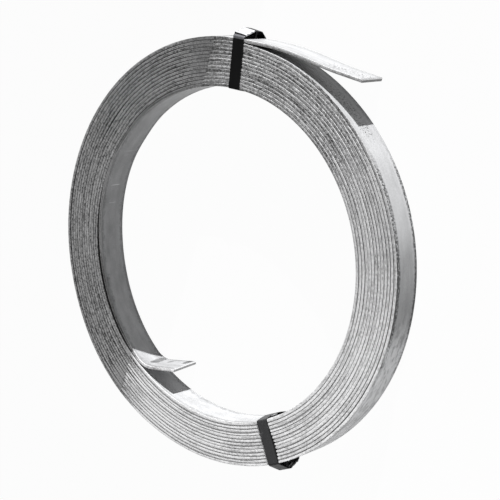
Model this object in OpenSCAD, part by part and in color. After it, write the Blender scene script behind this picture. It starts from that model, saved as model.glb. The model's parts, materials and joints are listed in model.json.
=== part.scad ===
// Coil of galvanized steel strip, lying on its end, held by two steel straps.
//
// The strip is wound as a two-centre spiral. Every turn is two half circles whose
// centres lie half a pitch apart on the seam, so each half turn runs smoothly into
// the next. Each half of the winding is turned in one piece with grooved ends.
//
// +Z is up, along the coil's axis, so its front end faces up. The coil lies on the
// two straps that run under its back end, and the origin is on the floor at its axis.
// Angles called "clock" are counted clockwise from +Y, as seen from the front. All
// lengths are millimetres.

/* [Strip] */
// Width of the strip, which is the length of the coil along its axis
strip_w = 40; // [30:1:50]
// Thickness of the strip
strip_t = 4; // [3:0.5:5]
// Radius of the strip's rolled corners
corner_r = 0.8; // [0.4:0.1:1.2]

/* [Winding] */
// Inside radius at the start of the winding
bore_r = 200; // [160:5:240]
// Number of whole turns in the winding
turns = 13; // [10:1:18]
// Mean gap between two turns
turn_gap = 0.15; // [0.05:0.05:0.4]
// Clock angle where the inner end of the strip leaves the winding
inner_clock = 226; // [210:1:240]
// Clock angle where the outer end of the strip leaves the winding
outer_clock = 13.4; // [13:0.2:30]

/* [Inner end] */
// Radius of the bend that lifts the inner end off the bore
inner_bend_r = 30; // [20:1:60]
// Angle of that bend
inner_bend = 46; // [20:1:60]
// Length of the flat stretch after the bend
inner_flat = 41; // [20:1:70]

/* [Outer end] */
// Radius of the slack bend in the outer end
outer_bend_r = 500; // [300:50:2000]
// Angle of that bend
outer_bend = 4; // [1:0.5:8]
// Length of the flat stretch after the bend
outer_flat = 131; // [60:1:200]

/* [Straps] */
// Width of both straps
strap_w = 16; // [10:1:18]
// Thickness of both straps
strap_t = 0.5; // [0.4:0.1:1]
// Clock angle of the upper strap
top_strap_clock = 11.1; // [0:0.1:11.2]
// Clock angle of the lower strap
bottom_strap_clock = 163.3; // [155:0.1:170]
// Distance by which the upper strap's loose loop stands off the rim
top_slack = 10.5; // [6:0.5:15]
// Distance by which the lower strap's loose loop hangs off the rim
bottom_slack = 10.5; // [6:0.5:15]
// Distance that both straps would bow away from the bore if their bow were sharp
bore_slack = 3.4; // [0.5:0.1:4]
// Radius of the bow in the bore
bow_r = 60; // [20:5:80]
// Radius of the straps' bends over the edges of the coil
strap_bend_r = 1.6; // [1:0.1:2.5]
// Radius of the bend that starts each loose loop
loop_bend_r = 5; // [3:0.5:6]
// Gap between a strap and what it lies on
strap_gap = 0.1; // [0.05:0.05:0.3]

/* [Seals] */
// Length of a seal along its strap
seal_l = 16; // [12:1:20]
// Length of strap lap that shows past each end of a seal
lap_end = 1; // [0.5:0.5:2]
// Sheet thickness of a seal
seal_t = 0.6; // [0.5:0.1:1]
// Gap between a seal and the strap inside it
seal_gap = 0.1; // [0.05:0.05:0.2]
// Width of the mouth between the two turned-in lips of a seal
seal_mouth = 6; // [3:0.5:8]
// Depth of the crimped notches, from the edges of the strap
notch_d = 1.2; // [0.6:0.1:2]
// Length of a crimped notch along the strap
notch_l = 3; // [2:0.5:4]

/* [Hidden] */
$fn = 96;

pitch = strip_t + turn_gap;
seam = inner_clock;
// The winding's two centres lie on the seam, this far on either side of the axis
centre_shift = pitch / 4;
// Inside and outside radii of the two half windings about their own centres
upper_in = bore_r;
lower_in = bore_r + pitch / 2;
upper_out = upper_in + (turns + 1) * pitch - turn_gap;
lower_out = lower_in + turns * pitch - turn_gap;
// Inside face and sweep of the last turn, which lies outside the whole turns
last_in = upper_out - strip_t;
last_sweep = 360 + outer_clock - seam;
// Height of the coil's middle over the floor, with a strap under its back end
mid_z = strip_w / 2 + strap_gap + strap_t;
// Length by which joined stretches of strip run into each other, and how much
// slimmer the inner one is, so that no two of their faces coincide
bite = 0.5;
hair = 0.02;

// Centre line of a strap over the end of the coil, counted forwards from its middle
strap_face = strip_w / 2 + strap_gap + strap_t / 2;
// Length over which a strap's two ends lap inside their seal
lap_l = seal_l + 2 * lap_end;
seal_stand = seal_t + seal_gap;
// Room that the bends at its ends take from the straight stretch with a lap
lap_room = strap_bend_r + loop_bend_r / 2;

steel_zinc = [0.72, 0.73, 0.74];
strap_black = [0.12, 0.12, 0.13];
seal_zinc = [0.55, 0.56, 0.58];

// ---------- Plane geometry ----------

function unit(v) = v / norm(v);
function turned(v, a) = [v[0] * cos(a) - v[1] * sin(a), v[0] * sin(a) + v[1] * cos(a)];
function left_of(v) = [-v[1], v[0]];
function bend(u, v) = atan2(u[0] * v[1] - u[1] * v[0], u * v);
function flat(p) = [p[0], p[1]];

// A closed path through corners [x, y, r], each rounded to its own radius r.
function rounded(corners, steps = 4) = [
    for (i = [0 : len(corners) - 1])
        let (n = len(corners),
             here = flat(corners[i]),
             u = unit(here - flat(corners[(i + n - 1) % n])),
             v = unit(flat(corners[(i + 1) % n]) - here),
             a = bend(u, v),
             r = corners[i][2],
             start = here - u * r * tan(abs(a) / 2),
             centre = start + left_of(u) * r * sign(a))
        each [for (k = [0 : steps]) centre + turned(start - centre, a * k / steps)]
];

// The same closed path moved sideways by d, to the right of its heading.
function moved(path, d) = [
    for (i = [0 : len(path) - 1])
        let (n = len(path),
             u = unit(path[i] - path[(i + n - 1) % n]),
             v = unit(path[(i + 1) % n] - path[i]))
        path[i] - unit(left_of(u) + left_of(v)) * d / cos(bend(u, v) / 2)
];

function mirrored(points) = [for (i = [len(points) - 1 : -1 : 0]) [points[i][0], -points[i][1]]];

// ---------- Strip ----------

// Crown of one turn between its rolled corners, from radius r outwards.
function crown(r, inset) =
    let (a = r + inset, b = r + strip_t - inset, top = strip_w / 2 - inset,
         c = corner_r, bevel = corner_r * (1 - sqrt(0.5)))
    [[a, top - c], [a + bevel, top - bevel], [a + c, top],
     [b - c, top], [b - bevel, top - bevel], [b, top - c]];

// Radial section of some turns of strip, with a groove between each two.
module strip_section(r, count = 1, inset = 0) {
    half = [for (k = [0 : count - 1]) each crown(r + k * pitch, inset)];
    polygon(concat(half, mirrored(half)));
}

// Turns a shape made about Z so that its +X axis points to a clock angle.
module at_clock(clock) {
    translate([0, 0, mid_z])
        rotate([0, 0, 90 - clock])
            children();
}

module lower_half() {
    translate([centre_shift, 0, 0])
        rotate_extrude(angle = 180)
            strip_section(lower_in, turns);
}

module upper_half() {
    translate([-centre_shift, 0, 0])
        rotate([0, 0, 180])
            rotate_extrude(angle = 180)
                strip_section(upper_in, turns);
}

// The last turn runs on outside the upper half, clockwise from the seam.
module last_turn() {
    translate([-centre_shift, 0, 0])
        mirror([0, 1, 0]) {
            rotate_extrude(angle = last_sweep) {
                strip_section(last_in);
                translate([last_in - strip_t / 2, 0])
                    square([strip_t, strip_w - 3 * corner_r], center = true);
            }
            rotate([0, 0, last_sweep])
                sprung_end(last_in, outer_bend_r, outer_bend, outer_flat);
        }
}

module first_end() {
    translate([-centre_shift, 0, 0])
        sprung_end(upper_in, inner_bend_r, inner_bend, inner_flat);
}

// An end that springs off the winding: a bend of its own radius, then flat. It
// starts on the X axis, with its inside face at radius r, and turns anticlockwise.
// Each stretch begins a bite inside the one before and is a hair slimmer.
module sprung_end(r, bend_r, angle, length) {
    back = bite / bend_r * 180 / PI;
    translate([r - bend_r, 0, 0]) {
        rotate([0, 0, -back])
            rotate_extrude(angle = angle + back)
                strip_section(bend_r, inset = hair);
        rotate([0, 0, angle])
            rotate([-90, 0, 0])
                translate([0, 0, -bite])
                    linear_extrude(length + bite)
                        strip_section(bend_r, inset = 2 * hair);
    }
}

module strip_coil() {
    color(steel_zinc)
        at_clock(seam) {
            lower_half();
            upper_half();
            last_turn();
            first_end();
        }
}

// ---------- Straps and seals ----------

// A flat strap inside the bore touches it with its two edges only.
function bore_seat(r) = sqrt(r * r - strap_w * strap_w / 4) - strap_gap - strap_t / 2;
function rim_seat(r) = r + strap_gap + strap_t / 2;

top_in = bore_seat(upper_in);
top_rim = rim_seat(upper_out);
bottom_in = bore_seat(lower_in);
bottom_rim = rim_seat(lower_out);

// Crest of each loose loop, counted forwards. The upper loop's lap lies in front of
// its crest, and the lower loop's lap lies behind its crest.
top_crest = strap_face - lap_l - lap_room;
bottom_foot = strap_bend_r * 1.8 - strap_face;
bottom_crest = bottom_foot + lap_l + lap_room * 0.6;
behind = top_crest + strap_face;

// Ends of the straight stretch that each seal holds, as [radius, forwards]
top_lap = [[top_rim + top_slack, top_crest], [top_rim + top_slack * 0.6, strap_face]];
bottom_lap = [[bottom_rim + bottom_slack * 0.4, bottom_foot],
              [bottom_rim + bottom_slack, bottom_crest]];

// Centre lines of the straps, seen along the strip: out along the back, over the
// rim to the front, in along the front and back through the bore.
top_path = rounded([
    [top_in, -strap_face, strap_bend_r],
    [top_rim, -strap_face, strap_bend_r],
    [top_rim + top_slack * 0.9, top_crest - behind * 0.56, min(strap_bend_r * 2, behind / 4)],
    [top_lap[0][0], top_lap[0][1], min(loop_bend_r, behind * 0.8)],
    [top_lap[1][0], top_lap[1][1], strap_bend_r],
    [top_in, strap_face, strap_bend_r],
    [top_in - bore_slack, 0, bow_r]]);

bottom_path = rounded([
    [bottom_in, -strap_face, strap_bend_r],
    [bottom_rim, -strap_face, strap_bend_r],
    [bottom_lap[0][0], bottom_lap[0][1], strap_bend_r],
    [bottom_lap[1][0], bottom_lap[1][1], loop_bend_r],
    [bottom_rim, strap_face, strap_bend_r * 2],
    [bottom_in, strap_face, strap_bend_r],
    [bottom_in - bore_slack, 0, bow_r]]);

// Stands a strap's outline across the strip at a clock angle, about the centre
// of the upper half (side -1) or of the lower half (side 1).
module across(side, clock) {
    shift = side * centre_shift;
    translate([shift * sin(seam), shift * cos(seam), 0])
        at_clock(clock)
            rotate([90, 0, 0])
                children();
}

// Places a seal's frame on a lap: +X along the strap, +Y out of the coil.
module on_lap(lap) {
    middle = (lap[0] + lap[1]) / 2;
    run = unit(lap[1] - lap[0]);
    translate([middle[0], middle[1], 0])
        rotate([0, 0, atan2(run[1], run[0])])
            translate([0, -strap_t / 2, 0])
                children();
}

// Notches that the crimping tool cuts into both edges of a lap.
module crimp_notches() {
    depth = notch_d + seal_stand;
    for (x = [-1, 1], side = [-1, 1])
        translate([x * seal_l / 4, 0, side * (strap_w / 2 + seal_stand)])
            rotate([90, 0, 0])
                linear_extrude(4 * strap_t + 4 * seal_stand, center = true)
                    polygon([[-notch_l / 2, side * 0.5], [-notch_l / 2, 0],
                             [-notch_l / 5, -side * depth], [notch_l / 5, -side * depth],
                             [notch_l / 2, 0], [notch_l / 2, side * 0.5]]);
}

// A closed band round the section of the coil, doubled where its ends lap.
module strap(path, lap) {
    difference() {
        linear_extrude(strap_w, center = true) {
            difference() {
                polygon(moved(path, strap_t / 2));
                polygon(moved(path, -strap_t / 2));
            }
            on_lap(lap)
                translate([-lap_l / 2, -strap_t])
                    square([lap_l, strap_t * 1.5]);
        }
        on_lap(lap)
            crimp_notches();
    }
}

// A sheet sleeve crimped round the lap, open along the side that faces the coil.
module seal(lap) {
    inside = [2 * seal_l, 2 * (strap_t + seal_gap), strap_w + 2 * seal_gap];
    outside = [seal_l, inside[1] + 2 * seal_t, inside[2] + 2 * seal_t];
    on_lap(lap)
        difference() {
            cube(outside, center = true);
            cube(inside, center = true);
            translate([0, outside[1] / 2, 0])
                cube([inside[0], outside[1], seal_mouth], center = true);
            crimp_notches();
        }
}

module top_strap() {
    color(strap_black)
        across(-1, top_strap_clock)
            strap(top_path, top_lap);
}

module bottom_strap() {
    color(strap_black)
        across(1, bottom_strap_clock)
            strap(bottom_path, bottom_lap);
}

module top_seal() {
    color(seal_zinc)
        across(-1, top_strap_clock)
            seal(top_lap);
}

module bottom_seal() {
    color(seal_zinc)
        across(1, bottom_strap_clock)
            seal(bottom_lap);
}

strip_coil();
top_strap();
bottom_strap();
top_seal();
bottom_seal();
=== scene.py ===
"""Looks of a coil of galvanized steel strip, held by two steel straps with crimped seals.

The coil lies on its end. Its axis is Z, and angles called clock are counted clockwise
from +Y, seen from above. Lengths are metres and angles are radians.
"""

import json
import math
from types import SimpleNamespace

import bpy
import numpy as np
from bpy.props import FloatProperty, FloatVectorProperty, IntProperty, PointerProperty
from mathutils import Matrix, Vector


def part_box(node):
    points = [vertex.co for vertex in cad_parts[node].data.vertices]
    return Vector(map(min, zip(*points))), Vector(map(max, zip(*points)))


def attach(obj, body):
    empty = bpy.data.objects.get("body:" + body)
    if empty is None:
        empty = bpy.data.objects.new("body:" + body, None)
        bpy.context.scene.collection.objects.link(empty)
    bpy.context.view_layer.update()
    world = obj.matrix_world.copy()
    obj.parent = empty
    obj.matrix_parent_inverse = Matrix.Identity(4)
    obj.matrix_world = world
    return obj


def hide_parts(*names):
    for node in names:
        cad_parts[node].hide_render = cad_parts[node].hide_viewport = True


bl_info = {
    "name": "Galvanized Strip Coil",
    "version": (1, 0, 0),
    "blender": (4, 5, 0),
    "location": "3D View > Sidebar > Strip Coil",
    "description": "Adds a strapped coil of galvanized steel strip and a plain stage for it",
    "category": "Add Mesh",
}

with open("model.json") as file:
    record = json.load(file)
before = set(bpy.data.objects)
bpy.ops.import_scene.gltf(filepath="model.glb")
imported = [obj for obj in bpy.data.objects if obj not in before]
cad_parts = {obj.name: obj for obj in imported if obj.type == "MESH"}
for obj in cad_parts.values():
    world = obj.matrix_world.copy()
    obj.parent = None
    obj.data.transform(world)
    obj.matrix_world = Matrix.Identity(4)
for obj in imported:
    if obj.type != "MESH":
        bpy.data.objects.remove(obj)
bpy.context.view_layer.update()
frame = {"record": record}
COIL_LOW, COIL_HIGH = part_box("strip_coil")
MIDDLE_Z = (COIL_LOW.z + COIL_HIGH.z) / 2
MOUNTS = {mount["name"]: mount for mount in frame["record"]["mounts"]}
MM = 0.001
FULL_TURN = 2 * math.pi
HALF_TURN = math.pi


# ---------- Settings ----------


def length(name, description, default):
    """A setting that is a length in metres."""
    return FloatProperty(name=name, description=description, default=default, unit="LENGTH")


def angle(name, description, degrees):
    """A setting that is an angle, given in degrees."""
    return FloatProperty(
        name=name, description=description, default=math.radians(degrees), subtype="ANGLE"
    )


def share(name, description, default):
    """A setting from 0 to 1."""
    return FloatProperty(name=name, description=description, default=default, min=0, max=1)


def colour(name, description, default):
    """A setting that is a linear colour."""
    return FloatVectorProperty(
        name=name, description=description, default=default, subtype="COLOR", size=3, min=0, max=1
    )


class StripSettings(bpy.types.PropertyGroup):
    """Sizes and finish of the wound strip."""

    width: length("Width", "Width of the strip", COIL_HIGH.z - COIL_LOW.z)
    thickness: length("Thickness", "Thickness of the strip", 4 * MM)
    corner: length("Corner", "Radius of the strip's rolled corners", 0.3 * MM)
    margin: length("Margin", "Width of the matt margin along both edges", 5 * MM)
    fall: length("Fall", "Height by which the face falls away over its margin", 0.05 * MM)
    edge_slope: angle("Edge slope", "Mean fall of the sheared edges towards the bore", 8)
    bore_radius: length(
        "Bore radius", "Inside radius at the start", MOUNTS["coil_eye"]["dims"]["r_mm"] * MM
    )
    turns: IntProperty(name="Turns", description="Whole turns in the winding", default=13, min=1)
    turn_gap: length("Turn gap", "Mean gap between two turns", 0.15 * MM)
    inner_clock: angle("Inner clock", "Clock angle where the inner end leaves", 226)
    outer_clock: angle("Outer clock", "Clock angle where the outer end leaves", 13.4)
    inner_bend_radius: length("Inner bend radius", "Inside radius of the inner bend", 30 * MM)
    inner_bend: angle("Inner bend", "Angle of the inner bend", 47.5)
    inner_flat: length("Inner flat", "Length of the inner end's flat stretch", 39.8 * MM)
    outer_bend_radius: length("Outer bend radius", "Inside radius of the outer bend", 500 * MM)
    outer_bend: angle("Outer bend", "Angle of the outer bend", 4)
    outer_flat: length("Outer flat", "Length of the outer end's flat stretch", 130.3 * MM)
    stray: length("Stray", "Most that a turn's edge lies below its neighbours", 0.5 * MM)
    outer_skew: angle("Outer skew", "Angle by which the outer end is cut off square", 0.7)
    inner_skew: angle("Inner skew", "Angle by which the inner end is cut off square", 3.4)
    twist: angle("Twist", "Twist of the inner end about its length", -4)
    zinc: colour("Zinc", "Colour of the smooth zinc faces", (0.44, 0.443, 0.45))
    edge_zinc: colour("Edge zinc", "Colour of the grainy edges", (0.76, 0.76, 0.765))
    # The colour of the painted shade in the grooves between the turns and by the straps
    groove_shade_colour: colour("Soil", "Colour of the grime between the turns", (0.02, 0.02, 0.02))


class StrapSettings(bpy.types.PropertyGroup):
    """Sizes and finish of the two straps and their seals."""

    width: length("Width", "Width of a strap", 16 * MM)
    thickness: length("Thickness", "Thickness of a strap", 0.5 * MM)
    gap: length("Gap", "Gap between a strap and what it lies on", 0.1 * MM)
    top_clock: angle("Upper clock", "Clock angle of the upper strap", 10.9)
    bottom_clock: angle("Lower clock", "Clock angle of the lower strap", 163.3)
    top_slack: length("Upper slack", "Stand-off of the upper loop from the rim", 10.5 * MM)
    bottom_slack: length("Lower slack", "Stand-off of the lower loop from the rim", 10.5 * MM)
    bore_slack: length("Bore slack", "Sharp height of the bow in the bore", 3.4 * MM)
    bow_radius: length("Bow radius", "Radius of the bow in the bore", 60 * MM)
    bend_radius: length("Bend radius", "Radius of the bends over the coil's edges", 1.6 * MM)
    loop_radius: length("Loop radius", "Radius of the crest of a loose loop", 5 * MM)
    lap_end: length("Lap end", "Strap that shows past each end of a seal", 1 * MM)
    seal_length: length("Seal length", "Length of a seal along its strap", 16 * MM)
    seal_sheet: length("Seal sheet", "Sheet thickness of a seal", 0.6 * MM)
    seal_gap: length("Seal gap", "Gap between a seal and its strap", 0.1 * MM)
    seal_mouth: length("Seal mouth", "Width between the two turned-in lips", 6 * MM)
    top_free_end: length("Upper free end", "Strap past the upper lap, curled inwards", 14 * MM)
    top_curl: angle("Upper curl", "Angle by which the upper free end is curled", 115)
    bottom_free_end: length("Lower free end", "Strap past the lower lap, curled inwards", 12.9 * MM)
    bottom_curl: angle("Lower curl", "Angle by which the lower free end is curled", 140)
    curl_radius: length("Curl radius", "Radius of the curls", 3 * MM)
    lacquer: colour("Lacquer", "Colour of the upper strap's dark finish", (0.0065, 0.0065, 0.007))
    # The lower strap's finish, lighter than the upper strap's
    lower_lacquer: colour("Worn lacquer", "Colour of the lower strap's finish", (0.057, 0.057, 0.059))
    seal_zinc: colour("Seal zinc", "Colour of the upper seal", (0.58, 0.585, 0.6))
    # Painted shade: the lower seal is dark so that the shaded inside of its loop looks black
    painted_shade_seal_zinc: colour("Dull seal zinc", "Colour of the dirty lower seal", (0.05, 0.05, 0.052))


class StageSettings(bpy.types.PropertyGroup):
    """Camera, floor and light."""

    azimuth: angle("Azimuth", "Direction of the camera round the coil", 102.2)
    elevation: angle("Elevation", "Height of the camera over the floor", 49.44)
    roll: angle("Roll", "Turn of the camera about its line of sight", -102.0)
    distance: length("Distance", "Distance from the camera to the coil", 1.6871)
    lens: FloatProperty(name="Lens", description="Focal length in millimetres", default=101.0)
    key: FloatProperty(name="Key", description="Power of the low key light in watts", default=11970)
    key_size: length("Key size", "Radius of the key light", 0.0015)
    fill: FloatProperty(name="Fill", description="Power of the soft fill light in watts", default=1.3)
    sky: FloatProperty(name="Sky", description="Strength of the even grey sky", default=0.1)
    whiteness: share("Whiteness", "Share of plain white in the floor that is seen", 0.97)


# ---------- Plane geometry ----------


def on_clock(clock):
    """Unit vectors in plan that point to clock angles: (sin, cos)."""
    return np.stack([np.sin(clock), np.cos(clock)], axis=-1)


def along_clock(clock):
    """Unit vectors in plan along which the clock angle grows: (cos, -sin)."""
    return np.stack([np.cos(clock), -np.sin(clock)], axis=-1)


def lens(value, middle, half_width):
    """A smooth hump from 0 to 1 and back: half a period of a raised cosine."""
    away = np.clip(np.abs(value - middle) / half_width, 0, 1)
    return 0.5 * (1 + np.cos(HALF_TURN * away))


def wave(clock, cycles, phases):
    """A mean of sines whose periods don't fit a whole turn, from -1 to 1."""
    parts = [np.sin(clock * c + p) for c, p in zip(cycles, phases)]
    return np.mean(parts, axis=0)


def fillet(before, corner, after, radius, steps):
    """Points of the arc that rounds one corner of a path."""
    u = (corner - before) / np.linalg.norm(corner - before)
    v = (after - corner) / np.linalg.norm(after - corner)
    turn = math.atan2(u[0] * v[1] - u[1] * v[0], u @ v)
    start = corner - u * radius * math.tan(abs(turn) / 2)
    side = np.array([-u[1], u[0]]) * math.copysign(radius, turn)
    turned = turn * np.linspace(0, 1, steps + 1)
    spin = np.array([[np.cos(turned), -np.sin(turned)], [np.sin(turned), np.cos(turned)]])
    return (start + side) + np.einsum("ijk,j->ki", spin, -side)


def rounded(corners, steps=8):
    """A closed path through corners (x, y, radius), each rounded to its own radius."""
    points = np.array([corner[:2] for corner in corners])
    arcs = [
        fillet(before, here, after, corner[2], steps)
        for before, here, after, corner in zip(
            np.roll(points, 1, axis=0), points, np.roll(points, -1, axis=0), corners
        )
    ]
    return np.concatenate(arcs)


# ---------- Meshes ----------


def new_object(name, points, faces, material, body="root"):
    """A smooth mesh object in place, which rides on a body."""
    mesh = bpy.data.meshes.new(name)
    mesh.from_pydata(points.reshape(-1, 3), [], faces)
    mesh.update()
    mesh.shade_smooth()
    mesh.materials.append(material)
    obj = bpy.data.objects.new(name, mesh)
    bpy.context.scene.collection.objects.link(obj)
    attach(obj, body)
    return obj


def store_flat_place(obj, along, across, through):
    """Keeps each point's place on the unrolled piece: along, across and through it."""
    places = np.stack(np.broadcast_arrays(along, across, through), axis=-1)
    attribute = obj.data.attributes.new("flat_place", "FLOAT_VECTOR", "POINT")
    attribute.data.foreach_set("vector", places.astype(np.float32).ravel())


def tube_faces(stations, around):
    """Faces of a closed section carried along a path, and the two end caps."""
    index = np.arange(stations * around).reshape(stations, around)
    here, after = index[:-1], index[1:]
    quads = np.stack([here, np.roll(here, -1, 1), np.roll(after, -1, 1), after], axis=-1)
    return quads.reshape(-1, 4).tolist(), [index[0, ::-1].tolist(), index[-1].tolist()]


def flat_ends(obj):
    """Gives the last two faces of a mesh, its end caps, a plain flat shade."""
    smooth = np.ones(len(obj.data.polygons), bool)
    smooth[-2:] = False
    obj.data.polygons.foreach_set("use_smooth", smooth)


def run_length(points):
    """Distance of each point along its path."""
    steps = np.linalg.norm(np.diff(points, axis=0), axis=-1)
    return np.concatenate([[0], np.cumsum(steps)])


# ---------- Strip ----------


def strip_section(strip, corner_steps=3):
    """The strip's section as (outward, across) points, anticlockwise.

    One quarter is a flat middle, a margin that falls as a square law, a quarter circle
    and half of a slightly bulged edge. The other three are its mirror images.
    """
    half_w = strip.width / 2
    half_t = strip.thickness / 2
    bulge = strip.corner / 8
    fall_width = 3 * MM
    reach = np.array([0, 0.5, 1])
    across = half_w - fall_width + reach * (fall_width - strip.corner)
    face = np.stack([half_t - strip.fall * reach**2, across], 1)
    bend = np.linspace(0, HALF_TURN / 2, corner_steps + 1)[1:]
    centre = np.array([half_t - strip.fall - strip.corner, half_w - bulge - strip.corner])
    corner = centre + strip.corner * np.stack([np.cos(bend), np.sin(bend)], 1)
    quarter = np.concatenate([face, corner])
    middle = np.array([[0, half_w]])
    upper = np.concatenate([quarter, middle, quarter[::-1] * [-1, 1]])
    return np.concatenate([upper, -upper])


def knots(count, spread, seed):
    """Random levels from -1 to 1 times a spread."""
    return np.random.default_rng(seed).uniform(-spread, spread, count)


def rolling(place, spacing, levels):
    """A smooth random roll: a cosine blend from each random level to the next."""
    at = place / spacing
    first = np.floor(at).astype(int)
    blend = 0.5 - 0.5 * np.cos(HALF_TURN * (at - first))
    count = len(levels)
    return levels[first % count] * (1 - blend) + levels[(first + 1) % count] * blend


def winding(strip, step):
    """Middle line of the winding: clock angles, points and outward directions.

    It is a two-centre spiral: every half turn is an arc about one of two centres, half
    a pitch apart on the seam, and its radius grows by half a pitch each time. Small
    waves make the gaps between the turns uneven.
    """
    pitch = strip.thickness + strip.turn_gap
    start = strip.inner_clock
    sweep = FULL_TURN * (strip.turns + 1) + strip.outer_clock - start
    clock = start + np.linspace(0, sweep, 1 + round(sweep / step))
    half_turn = np.floor((clock - start) / HALF_TURN + 1e-9)
    side = np.where(half_turn % 2 == 0, -1, 1)
    centre = side[:, None] * pitch / 4 * on_clock(start)
    radius = strip.bore_radius + half_turn * pitch / 2 + strip.thickness / 2
    radius = radius + drift(strip, clock, sweep)
    outward = on_clock(clock)
    return clock, centre + radius[:, None] * outward, outward


def drift(strip, clock, sweep):
    """How far each point of the winding lies off its spiral, outwards.

    The strip's two ends stay in place. A wave opens and closes the gaps. Humps hold
    the turns inside a gap off the turns outside it, and two bulges spread the turns
    evenly, more and more towards the rim. A hump has its height in mm, and the middle
    and half width of its stretch in degrees.
    """
    turned = clock - strip.inner_clock
    end_hold = 0.5
    hold = np.clip(turned / end_hold, 0, 1) * np.clip((sweep - turned) / end_hold, 0, 1)
    uneven = 0.3 * strip.turn_gap * wave(clock, (0.371, 1.43, 2.717), (0.4, 2.1, 5.2)) * hold
    face_clock = clock % FULL_TURN

    def hump(height, middle, half_width, at=face_clock):
        """A hump of a height in mm about a clock angle in degrees."""
        return height * MM * lens(at, math.radians(middle), math.radians(half_width))

    first_gap = hump(2.3, 259, 38, clock)
    middle_gap = hump(1.1, 314.5, 12) * (turned < FULL_TURN * 7)
    last_gap = (hump(0.4, 122, 42) + hump(1.3, 276, 44)) * (turned < sweep - FULL_TURN)
    bulge = (hump(2.2, 229, 34) + hump(1.1, 72, 40)) * turned / sweep
    tail_gap = hump(0.9, 17, 13) * (turned < sweep - HALF_TURN) * turned / sweep
    return uneven + bulge - first_gap - middle_gap - last_gap - tail_gap


def strip_path(strip, straps, step=math.radians(2)):
    """Points, outward directions and heights of the whole strip, from its inner end.

    The inner end is a straight stretch and a bend of its own radius, tangent to the
    winding. The outer end is a slack bend and a straight stretch, lifted in its middle.
    """
    clock, wound, outward = winding(strip, step)
    half_t = strip.thickness / 2

    bend_r = strip.inner_bend_radius + half_t
    bend_centre = wound[0] - bend_r * outward[0]
    bend_clock = strip.inner_clock - np.linspace(strip.inner_bend, 0, 24)[:-1]
    bend = bend_centre + bend_r * on_clock(bend_clock)
    reach = np.linspace(strip.inner_flat, 0, 9)[:-1, None]
    first = bend[0] - reach * along_clock(bend_clock[0])

    slack_r = strip.outer_bend_radius + half_t
    slack_centre = wound[-1] - slack_r * outward[-1]
    slack_clock = strip.outer_clock + np.linspace(0, strip.outer_bend, 9)[1:]
    slack = slack_centre + slack_r * on_clock(slack_clock)
    reach = np.linspace(0, strip.outer_flat, 17)[1:, None]
    last = slack[-1] + reach * along_clock(slack_clock[-1])

    points = np.concatenate([first, bend, wound, slack, last])
    along = run_length(points)
    past_rim = along - along[-1] + strip.outer_flat + strip.outer_bend * slack_r
    turns_out = np.concatenate(
        [
            np.repeat(on_clock(bend_clock[:1]), len(first), 0),
            on_clock(bend_clock),
            outward,
            on_clock(slack_clock),
            np.repeat(on_clock(slack_clock[-1:]), len(last), 0),
        ]
    )
    lift = 3.4 * MM * lens(past_rim, 58 * MM, 74 * MM)
    points = points + lift[:, None] * turns_out
    before, after = len(first) + len(bend), len(slack) + len(last)
    heights = np.pad(edge_heights(strip, straps, clock), (before, after), mode="edge")
    return points, turns_out, heights


def edge_heights(strip, straps, clock):
    """How far each turn's edge lies below the highest: a random roll, held under the straps."""
    face_clock = clock % FULL_TURN
    grip = math.radians(11)
    held = lens(face_clock, straps.top_clock, grip) + lens(face_clock, straps.bottom_clock, grip)
    uneven = 0.5 + rolling(clock, 1.9, knots(101, 0.5, 5)) * 0.7
    uneven = uneven + rolling(clock, 0.37, knots(401, 0.5, 6)) * 0.3
    return -strip.stray * uneven * (1 - 0.8 * held)


def edge_slopes(strip, along):
    """Fall of the edge towards the bore: a mean slope and a random roll about it."""
    uneven = rolling(along, 0.31, knots(97, 1, 7)) + 0.4 * rolling(along, 0.023, knots(997, 1, 8))
    return math.tan(strip.edge_slope) * (1 + 0.45 * uneven)


def carry(strip, section, points, outward, heights):
    """Carries the section along a level path: point + first * outward + second * up.

    The edges slope: near an edge, a point drops by slope times its depth from the
    outer face. The section is turned about its length where the end is twisted, and both
    ends' stations are sheared along the path, since they aren't cut square.
    """
    along = run_length(points)
    out, across = section[:, 0], section[:, 1]
    edge_reach, edge_blend = 2.5 * MM, 2 * MM
    near_edge = np.clip((np.abs(across) - strip.width / 2 + edge_reach) / edge_blend, 0, 1)
    drop = near_edge * np.sign(across) * (strip.thickness / 2 - out)
    across = across - edge_slopes(strip, along)[:, None] * drop
    twisted_length = strip.inner_flat + 20 * MM
    turned = strip.twist * np.clip(1 - along / twisted_length, 0, 1)[:, None]
    out, across = (
        out * np.cos(turned) - across * np.sin(turned),
        out * np.sin(turned) + across * np.cos(turned),
    )
    cut_reach = 20 * MM
    early = np.clip(1 - along / cut_reach, 0, 1)[:, None]
    late = np.clip((along - along[-1] + cut_reach) / cut_reach, 0, 1)[:, None]
    shear = (math.tan(strip.outer_skew) * late + math.tan(strip.inner_skew) * early) * across
    heading = np.stack([outward[:, 1], -outward[:, 0]], 1)
    plan = points[:, None] + out[..., None] * outward[:, None] + shear[..., None] * heading[:, None]
    level = MIDDLE_Z + heights[:, None] + across
    return np.concatenate([plan, level[..., None]], axis=-1)


class COIL_OT_add_strip(bpy.types.Operator):
    """Adds the wound strip, with both of its ends sprung free"""

    bl_idname = "coil.add_strip"
    bl_label = "Add Strip"

    def execute(self, context):
        strip = context.scene.strip_settings
        section = strip_section(strip)
        straps = context.scene.strap_settings
        points, outward, heights = strip_path(strip, straps)
        along = run_length(points)
        rings = carry(strip, section, points, outward, heights)
        sides, ends = tube_faces(len(points), len(section))
        material = zinc_strip_material(strip, straps, along[-1])
        obj = new_object("wound_strip", rings, sides + ends, material)
        obj.data.materials.append(sheared_end_material(strip))
        flat_ends(obj)
        for cap in obj.data.polygons[-2:]:
            cap.material_index = 1
        store_flat_place(obj, along[:, None], section[:, 1], section[:, 0])
        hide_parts("strip_coil")
        return {"FINISHED"}


# ---------- Straps and seals ----------


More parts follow.
